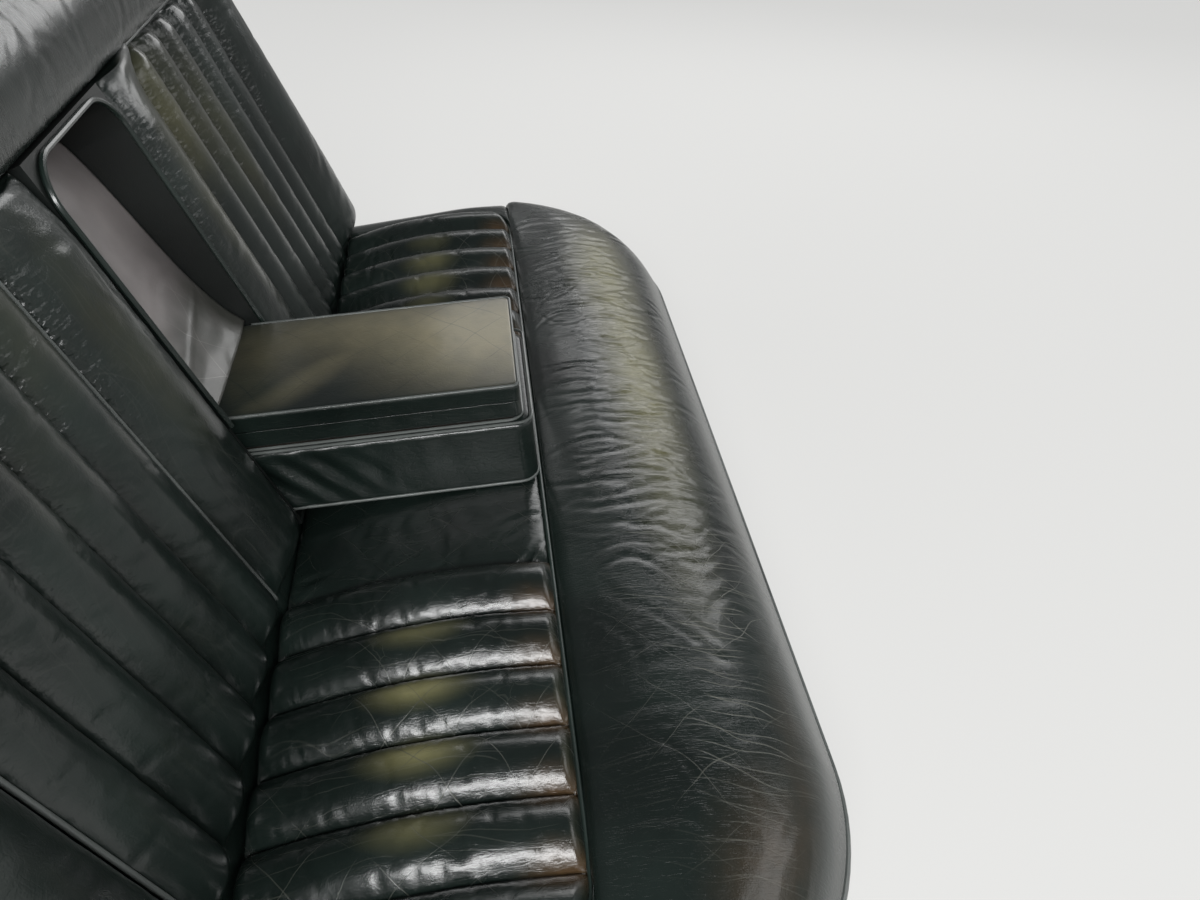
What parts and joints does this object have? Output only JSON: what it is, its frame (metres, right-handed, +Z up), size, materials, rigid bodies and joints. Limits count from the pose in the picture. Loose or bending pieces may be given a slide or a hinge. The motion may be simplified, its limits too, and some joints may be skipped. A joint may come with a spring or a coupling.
{
  "type": "rear bench seat of a luxury sedan",
  "caption": "Rear bench seat with fluted cushion and squab, plain rolls and a centre armrest that folds into the squab.",
  "frame": {"origin": "centre of the bounding box at the level that the seat stands on", "axes": "+X across the car to the seat's left-hand sitter's side, -Y the way that a sitter faces, +Z up"},
  "size_m": [1.384, 0.8356, 0.7181],
  "materials": {
    "seat_leather": "soft sheen, worn",
    "piping": "soft sheen",
    "frame_paint": "satin black paint",
    "bare_steel": "plain drawn steel",
    "board": "dark hardboard",
    "felt": "pressed felt",
    "well_lining": "smooth lining"
  },
  "bodies": {
    "bench": {"armrest_pivot": "bare_steel", "armrest_well_back": "well_lining", "armrest_well_wall": "well_lining", "cushion_centre_panel": "seat_leather", "cushion_cross_rail_left": "frame_paint", "cushion_cross_rail_right": "frame_paint", "cushion_fluted_panel_left": "seat_leather", "cushion_fluted_panel_right": "seat_leather", "cushion_front_rail": "frame_paint", "cushion_front_roll": "seat_leather", "cushion_piping": "piping", "cushion_rear_rail": "frame_paint", "cushion_side_border_left": "seat_leather", "cushion_side_border_right": "seat_leather", "cushion_skirt": "seat_leather", "cushion_springs": "bare_steel", "cushion_tab_left": "frame_paint", "cushion_tab_right": "frame_paint", "cushion_underlay": "felt", "squab_board": "board", "squab_bolster_left": "seat_leather", "squab_bolster_right": "seat_leather", "squab_centre_pad": "felt", "squab_fluted_panel_left": "seat_leather", "squab_fluted_panel_right": "seat_leather", "squab_foot_left": "frame_paint", "squab_foot_right": "frame_paint", "squab_lower_band": "seat_leather", "squab_post_inner_left": "frame_paint", "squab_post_inner_right": "frame_paint", "squab_post_outer_left": "frame_paint", "squab_post_outer_right": "frame_paint", "squab_rail_lower": "frame_paint", "squab_rail_upper": "frame_paint", "squab_top_roll": "seat_leather", "squab_wing_left": "seat_leather", "squab_wing_right": "seat_leather", "well_piping": "piping"},
    "armrest": {"armrest_board": "board", "armrest_lower_pad": "seat_leather", "armrest_piping": "piping", "armrest_sleeve": "bare_steel", "armrest_upper_pad": "seat_leather"}
  },
  "joints": [
    {"name": "armrest_fold", "type": "hinge", "parent": "bench", "child": "armrest", "pos_m": [0, 0.13418, 0.25039], "axis": [-1, 0, 0], "range_deg": [0, 107]}
  ]
}
